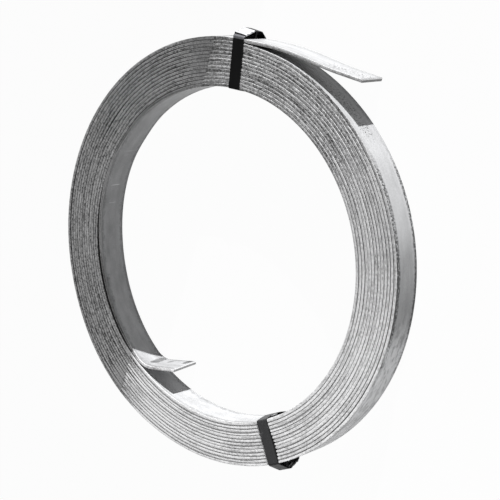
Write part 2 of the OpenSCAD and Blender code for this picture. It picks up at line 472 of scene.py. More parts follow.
def strap_seats(strip, straps):
    """Radii of the straps' middle lines in the bore and on the rim, upper strap first."""
    pitch = strip.thickness + strip.turn_gap
    lie = straps.gap + straps.thickness / 2
    upper_in = strip.bore_radius
    lower_in = strip.bore_radius + pitch / 2
    upper_out = upper_in + (strip.turns + 1) * pitch - strip.turn_gap
    lower_out = lower_in + strip.turns * pitch - strip.turn_gap
    in_bore = [math.sqrt(r * r - straps.width**2 / 4) - lie for r in (upper_in, lower_in)]
    return (in_bore[0], upper_out + lie), (in_bore[1], lower_out + lie)


def strap_paths(strip, straps):
    """Corners of both straps' middle lines and the two ends of each one's lap.

    A point is (radius, forwards). Each line runs out along the back, over the rim to
    the front with a loose loop, in along the front and back through the bore.
    """
    (top_in, top_rim), (low_in, low_rim) = strap_seats(strip, straps)
    face = strip.width / 2 + straps.gap + straps.thickness / 2
    bend, loop = straps.bend_radius, straps.loop_radius
    lap = straps.seal_length + 2 * straps.lap_end
    room = bend + loop / 2
    crest = face - lap - room
    behind = crest + face
    foot = 1.8 * bend - face
    low_crest = foot + lap + 0.6 * room
    top, low = straps.top_slack, straps.bottom_slack
    top_lap = np.array(
        [[top_rim + 0.95 * top, face - lap - 0.2 * room], [top_rim + 0.42 * top, face - 1.5 * MM]]
    )
    low_lap = np.array([[low_rim + 0.4 * low, foot], [low_rim + low, low_crest]])
    top_corners = [
        (top_in, -face, bend),
        (top_rim, -face, bend),
        (top_rim + 0.82 * top, crest - 0.56 * behind, min(2 * bend, behind / 4)),
        (*top_lap[0], min(loop, 0.8 * behind)),
        (*top_lap[1], 1.2 * bend),
        (top_rim + 0.2 * top, face, 0.8 * bend),
        (top_in, face, bend),
        (top_in - straps.bore_slack, 0, straps.bow_radius),
    ]
    low_corners = [
        (low_in, -face, bend),
        (low_rim, -face, bend),
        (*low_lap[0], bend),
        (*low_lap[1], loop),
        (low_rim, face, 2 * bend),
        (low_in, face, bend),
        (low_in - straps.bore_slack, 0, straps.bow_radius),
    ]
    return (top_corners, top_lap), (low_corners, low_lap)


def curled(tip, away, outward, radius, angle, distance):
    """A free end: an arc that turns inwards and a straight stretch, and its outward side.

    The arc's point is tip + radius * (sin(turned) * away - (1 - cos(turned)) * outward).
    """
    turned = np.minimum(distance / radius, angle)
    beyond = distance - radius * turned
    forth = radius * np.sin(turned) + beyond * math.cos(angle)
    inwards = radius * (1 - np.cos(turned)) + beyond * math.sin(angle)
    line = tip + forth[:, None] * away - inwards[:, None] * outward
    return line, np.cos(turned)[:, None] * outward + np.sin(turned)[:, None] * away


def both_ties(strip, straps):
    """What sets the upper and the lower strap apart, for the straps and for their seals.

    The side is that of the winding's half, -1 for the upper and 1 for the lower. The
    lean is how much further out a loose loop stands at one edge than in its middle.
    """
    (top_corners, top_lap), (low_corners, low_lap) = strap_paths(strip, straps)
    upper = SimpleNamespace(
        corners=top_corners, lap=top_lap, clock=straps.top_clock, side=-1, lean=-1 * MM,
        slack=straps.top_slack, free_end=straps.top_free_end, curl=straps.top_curl,
    )
    lower = SimpleNamespace(
        corners=low_corners, lap=low_lap, clock=straps.bottom_clock, side=1, lean=0,
        slack=straps.bottom_slack, free_end=straps.bottom_free_end, curl=straps.bottom_curl,
    )
    return upper, lower


def band_line(tie, straps, step=0.5 * MM):
    """Middle line of one strap as an open band whose two ends lap inside the seal.

    The closed path is walked backwards from the front end of its lap, once round and
    on to the back end of the lap. One of its ends lies one thickness further in, and
    curls inwards past the lap: the lower strap's first end or the upper strap's last.
    """
    path = rounded(tie.corners)[::-1]
    path = np.concatenate([path, path[:1]])
    distance = run_length(path)
    whole = distance[-1]

    def along_path(walked):
        """The points that lie some way along the closed path."""
        return np.stack([np.interp(walked % whole, distance, path[:, k]) for k in (0, 1)], 1)

    lap_length = straps.seal_length + 2 * straps.lap_end
    front_end = tie.lap.mean(axis=0) + lap_heading(tie.lap) * lap_length / 2
    dense = np.linspace(0, whole, 20000)
    begin = dense[np.argmin(np.linalg.norm(along_path(dense) - front_end, axis=1))]
    walked = np.arange(0, whole + lap_length, step)
    free_first = tie.side > 0
    dip = 4 * MM
    if free_first:
        under = 1 - np.clip((walked - lap_length) / dip, 0, 1)
    else:
        under = np.clip((walked - whole + dip) / dip, 0, 1)
    line = along_path(begin + walked)
    heading = np.gradient(line, axis=0)
    heading /= np.linalg.norm(heading, axis=1)[:, None]
    outward = np.stack([-heading[:, 1], heading[:, 0]], 1)
    line = line - outward * (under * under * (3 - 2 * under) * straps.thickness)[:, None]

    def joined(band, hook):
        """The band with its free end's values set before or after it."""
        return np.concatenate([hook[::-1], band] if free_first else [band, hook])

    end, onwards = (0, -1) if free_first else (-1, 1)
    past = np.arange(step, tie.free_end, step)
    away = onwards * heading[end]
    hook, side = curled(line[end], away, outward[end], straps.curl_radius, tie.curl, past)
    walked = joined(walked, walked[end] + onwards * past)
    return walked, joined(line, hook), joined(outward, side), lap_length, whole


def strap_section(straps):
    """A strap's section as (outward, across) points: flat, with rounded narrow edges."""
    half_t = straps.thickness / 2
    half_w = straps.width / 2
    across = np.array([0, 0.45, 0.8, 0.985]) * half_w
    upper = np.stack([np.full(4, half_t), across], 1)
    quarter = np.concatenate([upper, [[half_t * 0.6, half_w * 0.997], [0, half_w]]])
    top = np.concatenate([quarter, quarter[-2::-1] * [-1, 1]])
    return np.concatenate([top, -top[1:-1]])


def lap_heading(lap):
    """Unit vector along a lap, from its back end to its front end."""
    return (lap[1] - lap[0]) / np.linalg.norm(lap[1] - lap[0])


def crimp(along, straps):
    """Depth of the crimped notches along a seal, from 0 to 1: two steep V shapes."""
    notch = straps.seal_length / 4
    half_width = 1.7 * MM
    return sum(np.clip(1.25 - np.abs(along - at) / half_width, 0, 1) for at in (-notch, notch))


def stand(tie, strip, plan, across, forwards):
    """Stands (radius, across, forwards) points at a tie's clock angle, about its centre."""
    pitch = strip.thickness + strip.turn_gap
    centre = tie.side * pitch / 4 * on_clock(strip.inner_clock)
    out, along = on_clock(tie.clock), along_clock(tie.clock)
    flat = centre + plan[..., None] * out + across[..., None] * along
    return np.concatenate([flat, (MIDDLE_Z + forwards)[..., None]], axis=-1)


def add_strap(name, node, tie, strip, straps, lacquer):
    """One strap: its section carried along its band line, and pinched under its seal.

    Its loop leans more and more over the first 10 mm off the rim.
    """
    walked, line, outward, lap_length, whole = band_line(tie, straps)
    section = strap_section(straps)
    half_w = straps.width / 2
    in_lap = np.minimum(np.abs(walked - lap_length / 2), np.abs(walked - whole - lap_length / 2))
    squeeze = crimp(in_lap, straps) * 1.2 * MM / half_w
    rim = max(corner[0] for corner in tie.corners) - tie.slack
    loose = np.clip((line[:, 0] - rim) / (10 * MM), 0, 1)
    across = section[None, :, 1] * (1 - squeeze[:, None])
    plan = line[:, :1] + section[None, :, 0] * outward[:, :1]
    plan = plan + tie.lean * loose[:, None] * across / half_w
    forwards = line[:, 1:] + section[None, :, 0] * outward[:, 1:]
    rings = stand(tie, strip, plan, across, forwards)
    sides, ends = tube_faces(len(line), len(section))
    material = strap_material(name, lacquer, whole, tie.side, straps)
    obj = new_object(name, rings, sides + ends, material)
    flat_ends(obj)
    store_flat_place(obj, walked[:, None], across, section[None, :, 0])
    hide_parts(node)


def seal_line(straps):
    """Half of a seal's open section as (outward, across) points, from its back to a lip."""
    high = straps.thickness + straps.seal_gap + straps.seal_sheet / 2
    wide = straps.width / 2 + straps.seal_gap + straps.seal_sheet / 2
    turn = 0.7 * MM
    up, out = high - turn, wide - turn
    bend = np.linspace(0, HALF_TURN / 2, 5)
    shoulder = np.stack([up + turn * np.cos(bend), out + turn * np.sin(bend)], axis=1)
    hip = np.stack([-up - turn * np.sin(bend), out + turn * np.cos(bend)], axis=1)
    back = np.array([[high, 0], [high, 0.35 * wide], [high, 0.6 * wide], [high, 0.8 * wide]])
    lip = np.array([[-high, 0.75 * wide], [-high, straps.seal_mouth / 2]])
    return np.concatenate([back, shoulder, hip, lip])


def add_seal(name, node, tie, strip, straps, material):
    """One crimped seal: an open sleeve round the lap, pinched at two pairs of notches.

    The lower seal is pinched to three tenths of the upper seal's depth.
    """
    half = seal_line(straps)
    line = np.concatenate([half[::-1] * [1, -1], half[1:]])
    along = np.linspace(-1, 1, 49) * straps.seal_length / 2
    pinch = crimp(along, straps)[:, None] * (1.0 if tie.side < 0 else 0.3)
    wide = line[:, 1].max()
    side_share = np.clip((np.abs(line[:, 1]) / wide - 0.55) / 0.4, 0, 1) ** 2
    across = line[None, :, 1] * (1 - 0.2 * pinch * side_share)
    outward = line[None, :, 0] * (1 + 0.05 * pinch) - 0.75 * MM * pinch * side_share
    middle = tie.lap.mean(axis=0)
    run = lap_heading(tie.lap)
    out = np.array([run[1], -run[0]])
    out = out * math.copysign(1, out[0])
    middle = middle - out * straps.thickness / 2
    plan = middle[0] + along[:, None] * run[0] + outward * out[0]
    plan = plan + tie.lean * 0.8 * across / (straps.width / 2)
    forwards = middle[1] + along[:, None] * run[1] + outward * out[1]
    rings = stand(tie, strip, plan, across, forwards)
    index = np.arange(rings[..., 0].size).reshape(rings.shape[:2])
    quads = np.stack([index[:-1, :-1], index[:-1, 1:], index[1:, 1:], index[1:, :-1]], axis=-1)
    obj = new_object(name, rings, quads.reshape(-1, 4).tolist(), material)
    store_flat_place(obj, along[:, None], across, outward)
    sheet = obj.modifiers.new("sheet", "SOLIDIFY")
    sheet.thickness = straps.seal_sheet
    sheet.offset = 0
    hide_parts(node)


class COIL_OT_add_straps(bpy.types.Operator):
    """Adds the two straps, with their loose loops and lapped ends"""

    bl_idname = "coil.add_straps"
    bl_label = "Add Straps"

    def execute(self, context):
        strip = context.scene.strip_settings
        straps = context.scene.strap_settings
        upper, lower = both_ties(strip, straps)
        add_strap("upper_strap", "top_strap", upper, strip, straps, straps.lacquer)
        add_strap("lower_strap", "bottom_strap", lower, strip, straps, straps.lower_lacquer)
        return {"FINISHED"}


class COIL_OT_add_seals(bpy.types.Operator):
    """Adds the crimped seals that hold the straps' ends"""

    bl_idname = "coil.add_seals"
    bl_label = "Add Seals"

    def execute(self, context):
        strip = context.scene.strip_settings
        straps = context.scene.strap_settings
        upper, lower = both_ties(strip, straps)
        bright = seal_material("seal_zinc", straps.seal_zinc)
        add_seal("upper_seal", "top_seal", upper, strip, straps, bright)
        # The lower seal gets its dark colour as painted shade
        dull = seal_material("painted_shade_seal_zinc", straps.painted_shade_seal_zinc)
        add_seal("lower_seal", "bottom_seal", lower, strip, straps, dull)
        return {"FINISHED"}


# ---------- Node values ----------


class Value:
    """One output of a node. Arithmetic with it adds Math nodes to its tree."""

    def __init__(self, socket):
        self.socket = socket
        self.tree = socket.id_data

    def __add__(self, other):
        return maths("ADD", self, other)

    def __sub__(self, other):
        return maths("SUBTRACT", self, other)

    def __rsub__(self, other):
        return maths("SUBTRACT", other, self)

    def __mul__(self, other):
        return maths("MULTIPLY", self, other)

    def __abs__(self):
        return maths("ABSOLUTE", self)

    __radd__ = __add__
    __rmul__ = __mul__


def outputs(node):
    """A node's outputs as values, by place and by name."""
    values = [Value(socket) for socket in node.outputs]
    named = {value.socket.name: value for value in reversed(values)}
    return {**dict(enumerate(values)), **named}


def give(node, inputs):
    """Links a node's inputs to values, and sets the others."""
    for name, value in inputs.items():
        if isinstance(value, Value):
            value.tree.links.new(value.socket, node.inputs[name])
        else:
            node.inputs[name].default_value = value


def put(tree, kind, inputs=None, **settings):
    """Adds a node, sets it up and fills its inputs, and returns its outputs."""
    made = tree.nodes.new(kind)
    for name, setting in settings.items():
        setattr(made, name, setting)
    give(made, inputs or {})
    return outputs(made)


def maths(operation, *values, kind="ShaderNodeMath", **settings):
    """The result of one Math node."""
    tree = next(value.tree for value in values if isinstance(value, Value))
    return put(tree, kind, dict(enumerate(values)), operation=operation, **settings)[0]


def ramp(value, low, high, to_low=0.0, to_high=1.0):
    """Maps a value smoothly from one range to another."""
    levels = {"From Min": low, "From Max": high, "To Min": to_low, "To Max": to_high}
    inputs = {"Value": value, **levels}
    return put(value.tree, "ShaderNodeMapRange", inputs, interpolation_type="SMOOTHSTEP")["Result"]


def window(value, low, high, soft):
    """1 between two levels and 0 beyond them, with soft edges."""
    return ramp(value, low - soft, low + soft) * ramp(value, high - soft, high + soft, 1.0, 0.0)


def arc(clock, low, high, soft):
    """1 between two clock angles and 0 beyond them, all in degrees."""
    return window(clock, math.radians(low), math.radians(high), math.radians(soft))


def split(vector):
    """The X, Y and Z of a vector."""
    return put(vector.tree, "ShaderNodeSeparateXYZ", {0: vector})


def stretched(vector, along, across, through):
    """The unrolled place times its own scale in each direction."""
    inputs = {"Vector": vector, "Scale": (along, across, through)}
    return put(vector.tree, "ShaderNodeMapping", inputs)[0]


def noise(vector, scale, detail, roughness=0.5):
    """A noise value from 0 to 1."""
    inputs = {"Vector": vector, "Scale": scale, "Detail": detail, "Roughness": roughness}
    return put(vector.tree, "ShaderNodeTexNoise", inputs)["Fac"]


def blended(factor, first, second):
    """Mixes two colours."""
    inputs = {0: factor, 6: first, 7: second}
    return put(factor.tree, "ShaderNodeMix", inputs, data_type="RGBA")[2]


def tinted(plain, tone):
    """A colour made darker or lighter by a tone."""
    inputs = {0: tuple(plain), "Scale": tone}
    return put(tone.tree, "ShaderNodeVectorMath", inputs, operation="SCALE")[0]


def bumped(height, distance):
    """The surface's normal, tilted by a height."""
    return put(height.tree, "ShaderNodeBump", {"Height": height, "Distance": distance})[0]


# ---------- Shader groups ----------


def zinc_grain(start):
    """Zinc grain: fine noise and crystal cells, as a tone from -1 to 1 and a height."""
    vector, scale = start["Vector"], start["Scale"]
    fine = noise(vector, scale, 4.0, 0.65)
    cells = {"Vector": vector, "Scale": scale}
    crystal = put(vector.tree, "ShaderNodeTexVoronoi", cells)["Distance"]
    tone = (3.2 * fine - 1.6) + (0.9 * crystal - 0.45)
    return {"Tone": tone, "Height": fine + crystal}


def rolling_lines(start):
    """Rolling lines: noise drawn out along the strip, as a tone from -1 to 1 and a height."""
    drawn = stretched(start["Vector"], 0.02, 1.0, 1.0)
    thin = noise(drawn, start["Density"], 3.0, 0.6)
    both = thin + noise(drawn, 0.18 * start["Density"], 2.0)
    return {"Tone": 2.0 * both - 2.0, "Height": both}


def edge_ticks(start):
    """Grain of a sheared edge: specks, streaks along it, and slow tones of turns and gaps."""
    vector, density = start["Vector"], start["Density"]
    specks = noise(stretched(vector, 0.8, 0.3, 1.2), density, 3.0, 0.7)
    streaks = noise(stretched(vector, 0.05, 0.3, 1.0), density, 2.0, 0.6)
    turns = noise(stretched(vector, 1.0, 0.0, 0.0), 2.6, 3.0, 0.6)
    parts = split(vector)
    side = {"X": parts["X"], "Z": maths("SIGN", parts["Z"])}
    gaps = noise(put(vector.tree, "ShaderNodeCombineXYZ", side)[0], 3.1, 4.0, 0.65)
    return {
        "Tone": 4.8 * specks - 2.4,
        "Height": specks,
        "Streak": 4.0 * streaks - 2.0,
        "Turn": 4.0 * turns - 2.0,
        "Gap": 4.4 * gaps - 2.2,
    }


def zinc_film(start):
    """Cloudy film on the zinc: slow clouds of tone from -1 to 1, rare stains and patches."""
    drawn = stretched(start["Vector"], 0.45, 1.0, 1.0)
    slow = noise(drawn, start["Scale"], 4.0, 0.6)
    patch = noise(drawn, 1.7 * start["Scale"], 5.0, 0.7)
    stain = ramp(patch, start["Rarity"], start["Rarity"] + 0.1)
    return {"Tone": 4.0 * slow - 2.0, "Stain": stain, "Patch": ramp(patch, 0.42, 0.52)}


def ragged_margin(start):
    """Ragged margin along a strip's two edges, from 0 in the middle to 1, and its grain."""
    vector = start["Vector"]
    torn = 4.0 * noise(stretched(vector, 0.7, 1, 1), start["Scale"], 4.0, 0.75) - 2.0
    past = abs(split(vector)["Y"]) + torn * start["Ragged"] - start["Start"]
    dots = noise(stretched(vector, 0.8, 0.6, 1), 1.9 * start["Scale"], 2.0)
    return {"Mask": ramp(past, -0.8 * MM, 0.8 * MM), "Grain": 6.0 * dots - 3.0}


def ragged_spot(start):
    """A ragged oval spot: 1 in its middle and 0 outside its reach."""
    vector = start["Vector"]
    away = maths("SUBTRACT", vector, start["Centre"], kind="ShaderNodeVectorMath")
    away = maths("DIVIDE", away, start["Reach"], kind="ShaderNodeVectorMath")
    away = put(vector.tree, "ShaderNodeVectorMath", {0: away}, operation="LENGTH")["Value"]
    torn = 2.0 * noise(vector, 300.0, 4.0, 0.7) - 1.0
    return {"Mask": ramp(away + 0.8 * torn, 1.1, 0.6)}


# Each group's function and its inputs. An input without a plain value is a vector.
EFFECTS = {
    "zinc_grain": (zinc_grain, {"Vector": None, "Scale": 900.0}),
    "rolling_lines": (rolling_lines, {"Vector": None, "Density": 900.0}),
    "edge_ticks": (edge_ticks, {"Vector": None, "Density": 430.0}),
    "zinc_film": (zinc_film, {"Vector": None, "Scale": 30.0, "Rarity": 0.62}),
    "ragged_margin": (
        ragged_margin, {"Vector": None, "Start": 0.014, "Ragged": 0.0055, "Scale": 300.0}
    ),
    "ragged_spot": (ragged_spot, {"Vector": None, "Centre": None, "Reach": None}),
}


def new_effect(name):
    """Makes a shader group, with named inputs and with its function's results as outputs."""
    function, inputs = EFFECTS[name]
    group = bpy.data.node_groups.new(name, "ShaderNodeTree")
    for label, default in inputs.items():
        kind = "NodeSocketVector" if default is None else "NodeSocketFloat"
        socket = group.interface.new_socket(label, in_out="INPUT", socket_type=kind)
        if default is not None:
            socket.default_value = default
    results = function(outputs(group.nodes.new("NodeGroupInput")))
    for label in results:
        group.interface.new_socket(label, in_out="OUTPUT", socket_type="NodeSocketFloat")
    give(group.nodes.new("NodeGroupOutput"), results)
    return group


def effect(name, place, **inputs):
    """Places a shader group in a material, and makes it the first time."""
    group = bpy.data.node_groups.get(name) or new_effect(name)
    return put(place.tree, "ShaderNodeGroup", {"Vector": place, **inputs}, node_tree=group)


# ---------- Materials ----------


# The line in plan where the key light ends: its normal, towards the light, and its place on Y
LIGHT_LINE_NORMAL = (0.919, -0.394)
LIGHT_LINE_Y = 228 * MM

# Marks on the bore side. Place along and across, reach along and across, and tone. The
# first list's place along is a clock angle in degrees, and all other lengths are mm.
TURN_MARKS = (
    (292.4, 1.0, 0.9, 9.0, 0.6),
    (285.5, 1.5, 0.7, 8.0, 0.4),
    (306.7, -2.0, 0.8, 9.0, 0.3),
    (304.9, -1.0, 0.5, 6.0, 0.2),
    (256.3, 15.5, 9.0, 4.0, -0.2),
    (250.0, 15.0, 6.0, 3.0, -0.2),
    (263.0, 4.0, 26.0, 9.0, -0.08),
)
END_MARKS = (
    (49.0, -4.5, 5.5, 16.0, -0.6),
    (6.5, -12.0, 5.0, 9.0, -0.65),
    (31.0, -8.5, 4.0, 7.0, -0.35),
)

# Painted light and shade on stretches of the strip's edges: from and to a clock angle, softness, tone
PAINTED_EDGE_LIGHT = (
    (-55, -8, 12, -0.16),
    (-185, -145, 8, 0.1),
    (-159, -133, 6, 0.24),
    (-133, -98, 8, -0.24),
)


def new_material(name, surface):
    """A material with a plain Principled surface, and its shader."""
    material = bpy.data.materials.new(name)
    material.use_nodes = True
    shader = material.node_tree.nodes["Principled BSDF"]
    give(shader, surface)
    return material, shader


def flat_place(tree):
    """The unrolled place of the shaded point."""
    return put(tree, "ShaderNodeAttribute", attribute_name="flat_place")["Vector"]


def turn_places(strip, whole):
    """Places along the strip where its first turn and last turn begin and end."""
    half_t = strip.thickness / 2
    first_start = strip.inner_flat + strip.inner_bend * (strip.inner_bend_radius + half_t)
    first_end = first_start + FULL_TURN * (strip.bore_radius + half_t)
    rim = strip.bore_radius + (strip.turns + 1) * (strip.thickness + strip.turn_gap) - half_t
    last_end = whole - strip.outer_flat - strip.outer_bend * (strip.outer_bend_radius + half_t)
    return first_start, first_end, last_end - FULL_TURN * rim, last_end


def strip_places(tree, strip, whole):
    """Where the shaded point lies on the unrolled strip and round the coil."""
    place = flat_place(tree)
    parts = split(place)
    solid = split(put(tree, "ShaderNodeTexCoord")["Object"])
    clock = maths("ARCTAN2", solid["X"], solid["Y"])
    first_start, first_end, last_start, last_end = turn_places(strip, whole)
    return SimpleNamespace(
        place=place,
        along=parts["X"],
        across=parts["Y"],
        depth=parts["Z"],
        through=abs(parts["Z"]),
        outside=ramp(parts["Z"], -0.5 * MM, 0.5 * MM),
        x=solid["X"],
        y=solid["Y"],
        clock=clock,
        unlit=arc(clock, -132, -8, 6),
        streaky=arc(clock, -147, -124, 8),
        first_start=first_start,
        first_end=first_end,
        last_start=last_start,
        last_end=last_end,
    )


def bore_marks(strip, first_start):
    """Marks on the bore side, in metres: three bright rubs across, and dark touches.

    The dark touches lie near the strip's front edge and on the sprung inner end.
    """
    radius = strip.bore_radius + strip.thickness / 2
    marks = [(*(v * MM for v in size), tone) for *size, tone in END_MARKS]
    for clock, *size, tone in TURN_MARKS:
        along = first_start + (math.radians(clock) - strip.inner_clock) * radius
        marks.append((along, *(v * MM for v in size), tone))
    return marks


def buried_mask(at):
    """1 where another turn lies over the face, 0 where the face is free."""
    outer = window(at.along, at.first_start, at.last_start, 4 * MM)
    inner = window(at.along, at.first_end, at.last_end, 4 * MM)
    return inner + (outer - inner) * at.outside


def rim_tones(at, margins, lines):
    """Tone of the free outer face round the clock.

    The outer end is lined, and pitted near its tip. From two to four o'clock the face is darker,
    a painted shade, with dark grainy margins that are grain and painted shade, and a painted
    highlight band by its back edge. Below, it is patchy and light, a painted reflection.
    """
    tone = arc(at.clock, 13, 49, 2) * (0.25 * lines["Tone"] - 0.08)
    # Painted shade where the face turns away from the key light
    tone -= 0.3 * arc(at.clock, 85, 112, 5)
    # Painted reflection: patchy and light below four o'clock
    patches = effect("zinc_film", at.place, Scale=95.0)
    patch = 0.22 + 0.65 * patches["Patch"] + 0.35 * patches["Tone"]
    tone += arc(at.clock, 106, 165, 7) * patch
    # Painted highlight: a light band by the back edge
    band = window(at.across, -15.5 * MM, -12 * MM, 0.8 * MM)
    tone += 0.14 * band * arc(at.clock, 62, 100, 6)
    # Grain and painted shade: dark ragged margins along both edges
    torn = at.across + 0.9 * MM * margins["Grain"]
    margin = maths("MAXIMUM", ramp(torn, 12.6 * MM, 13.2 * MM), ramp(torn, -15.4 * MM, -16 * MM))
    tone += (0.55 * margins["Grain"] - 0.5) * margin * arc(at.clock, 64, 121, 6)
    pits = maths("MINIMUM", margins["Grain"], 0.0) * window(at.across, -6 * MM, 10 * MM, 5 * MM)
    tone += 0.9 * pits * arc(at.clock, 37, 57, 3)
    return tone * at.outside


def light_border(at):
    """Painted shade and light on the edges across the line where the key light ends, so they change
    slowly.

    The tone falls away as painted shade towards the line on the light's side, within a reach of 30 mm
    above and 35 mm below, and is slightly raised as painted light beyond the line in the coil's lower
    half.
    """
    normal_x, normal_y = LIGHT_LINE_NORMAL
    lit = at.x * normal_x + at.y * normal_y - normal_y * LIGHT_LINE_Y
    low = ramp(at.y, 100 * MM, -50 * MM)
    reach = 30 * MM + 5 * MM * low
    near = 1.0 - maths("DIVIDE", lit, reach, use_clamp=True)
    near *= ramp(lit, -0.02 * MM, 0.02 * MM)
    raised = window(lit, -70 * MM, 0, 0.01 * MM) * ramp(lit, -40 * MM, 0, 0.0, 0.25)
    return 1.0 - near * (0.42 + 0.06 * low) + raised * low


def painted_strap_shade(at, ticks, clock, side, strip, straps):
    """Painted shade under a strap and along its right edge, where it runs out into the gaps.

    The offset from the strap's middle is x * cos(clock) - y * sin(clock), less the
    offset of the winding's centre. It is turned to grow towards the right edge.
    """
    pitch = strip.thickness + strip.turn_gap
    shift = side * pitch / 4 * math.sin(strip.inner_clock - clock)
    off = -side * (at.x * math.cos(clock) - at.y * math.sin(clock) - shift)
    radial = at.x * math.sin(clock) + at.y * math.cos(clock)
    bow = window(radial, 222 * MM, 247 * MM, 12 * MM) * (1.0 if side > 0 else 0.15)
    reach = (1.4 * MM + 1.9 * MM * ramp(at.through, 0.8 * MM, 1.6 * MM)) * bow
    ragged = off + 0.2 * MM * ticks["Tone"] - reach
    half = straps.width / 2
    # Painted shade beside the strap's right edge, and under the strap
    beside = ramp(ragged, half + 0.4 * MM, half - 0.1 * MM) * ramp(off, 0, 1 * MM)
    mask = maths("MAXIMUM", window(off, -half, half, 0.3 * MM), beside)
    return mask * ramp(radial, 0, 10 * MM)


def painted_groove_shade(at, ticks, strip, straps):
    """Painted shade in the grooves between the turns, and under and beside the straps.

    The painted grooves are wider where the light doesn't reach, and beside the second turn, where
    the shade of the first turn's step is painted.
    """
    half_t = strip.thickness / 2
    rim = at.through + 0.18 * MM * ticks["Tone"] + 0.35 * MM * ticks["Gap"]
    # The painted shade is wider where the key light doesn't reach
    rim += 0.45 * MM * at.unlit + 0.2 * MM * at.streaky
    second_end = at.first_end + FULL_TURN * (strip.bore_radius + 1.5 * strip.thickness)
    second = window(at.along, at.first_end, second_end, 10 * MM) * (1.0 - at.outside)
    # Painted shade of the first turn's step, on the second turn's inner side
    rim += 1.0 * MM * second * arc(at.clock, -133, -70, 12)
    groove_shade = ramp(rim, half_t - 0.18 * MM, half_t + 0.12 * MM) * (0.7 + 0.25 * at.unlit)
    deep = ramp(at.through, half_t - 0.06 * MM, half_t - 0.01 * MM)
    groove_shade = maths("MAXIMUM", groove_shade, deep) * buried_mask(at)
    for clock, side in ((straps.top_clock, -1), (straps.bottom_clock, 1)):
        groove_shade = maths("MAXIMUM", groove_shade, painted_strap_shade(at, ticks, clock, side, strip, straps))
    return groove_shade


def face_tone(at, grain, lines, film, margins, strip):
    """Tone of the smooth faces: grain, lines, film and stains, dull margins and wear, and on the free
    outer face painted shade, highlight and reflection.
    """
    tone = 1.0 + 0.11 * grain["Tone"] + 0.10 * lines["Tone"] + 0.12 * film["Tone"]
    tone -= 0.14 * film["Stain"] + 0.14 * margins["Mask"]
    tone += rim_tones(at, margins, lines)
    sprung = ramp(at.along, at.first_start + 10 * MM, at.first_start - 10 * MM)
    cloud = 0.14 * film["Tone"] - 0.12 * margins["Mask"] - 0.15 * sprung
    tone += cloud * (1.0 - at.outside)
    for along, across, reach, width, mark in bore_marks(strip, at.first_start):
        centre = (along, across, -strip.thickness / 2)
        spot = effect("ragged_spot", at.place, Centre=centre, Reach=(reach, width, 3 * MM))
        tone += mark * spot["Mask"]
    return maths("MAXIMUM", tone, 0.12)


def edge_tone(at, ticks, strip):
    """Tone of the grainy edges: a plain level round the clock, specks, streaks and lines.

    The level is painted light and shade: lighter where the key light doesn't reach, lighter or
    darker in stretches round the clock, darker towards the line where the light ends, on the inner
    end and from twelve to two o'clock. The edges have more contrast where the light doesn't reach,
    and a painted highlight along their outer side there. The first turn's thin inner side is dark
    and smooth, painted shade of a step.
    """
    half_t = strip.thickness / 2
    # Painted light and shade: lighter where the key light doesn't reach, darker on the inner end
    plain = 1.08 + 0.41 * at.unlit - 0.3 * ramp(at.along, 0.4, 0.1)
    # Painted light and shade in stretches round the clock
    for low, high, soft, tone in PAINTED_EDGE_LIGHT:
        plain += tone * arc(at.clock, low, high, soft)
    # Painted shade and light across the line where the key light ends
    plain *= light_border(at)
    # Painted shade of a step on the inner half of the first turn's edge
    thin = ramp(at.depth, 1.3 * MM, 0.9 * MM) * at.unlit
    thin *= ramp(at.along, at.first_end, at.first_end - 20 * MM)
    wound = window(at.along, at.first_start, at.last_end, 6 * MM)
    # Grain, and painted shade from twelve to two o'clock
    grainy_and_shaded = arc(at.clock, 3, 62, 8) * wound
    plain -= 0.5 * thin + 0.32 * grainy_and_shaded
    contrast = (0.45 + 0.9 * at.unlit + 0.35 * grainy_and_shaded) * (1.0 - 0.85 * thin)
    # Painted highlight along the outer side of each edge where the key light doesn't reach
    line = 0.9 * window(at.depth, half_t - 1.4 * MM, half_t - 0.5 * MM, 0.2 * MM) - 0.2
    tone = plain + contrast * ticks["Tone"] + line * (at.unlit - thin)
    tone += (0.35 + 0.5 * at.streaky) * ticks["Streak"] + 0.14 * ticks["Turn"]
    return maths("MINIMUM", maths("MAXIMUM", tone, 0.2), 1.3 + 1.6 * at.unlit)


def zinc_strip_material(strip, straps, whole):
    """Rolled zinc: smooth lined faces, ragged margins, grainy edges, painted shade between turns and
    by the straps.
    """
    material, shader = new_material("rolled_zinc", {"Specular IOR Level": 0.35})
    at = strip_places(material.node_tree, strip, whole)
    half_w = strip.width / 2
    grain = effect("zinc_grain", at.place, Scale=700.0)
    lines = effect("rolling_lines", at.place, Density=900.0)
    film = effect("zinc_film", at.place, Scale=60.0)
    ticks = effect("edge_ticks", at.place, Density=430.0)
    margins = effect("ragged_margin", at.place, Start=half_w - strip.margin)
    edge = ramp(abs(at.across), half_w - 1.1 * strip.corner, half_w - 0.5 * strip.corner)
    groove_shade = painted_groove_shade(at, ticks, strip, straps)
    faces = tinted(strip.zinc, face_tone(at, grain, lines, film, margins, strip))
    edges = tinted(strip.edge_zinc, edge_tone(at, ticks, strip))
    height = edge * ticks["Height"] + 0.12 * grain["Height"] + 0.1 * lines["Height"]
    dull = 0.42 + 0.12 * margins["Mask"] + 0.05 * film["Tone"] + 0.4 * groove_shade
    finish = {
        # The grooves and the places by the straps take the painted shade colour
        "Base Color": blended(groove_shade, blended(edge, faces, edges), (*strip.groove_shade_colour, 1)),
        "Metallic": 0.08 + 0.1 * edge,
        "Roughness": dull,
        "Normal": bumped(height, 0.0003),
    }
    give(shader, finish)
    return material


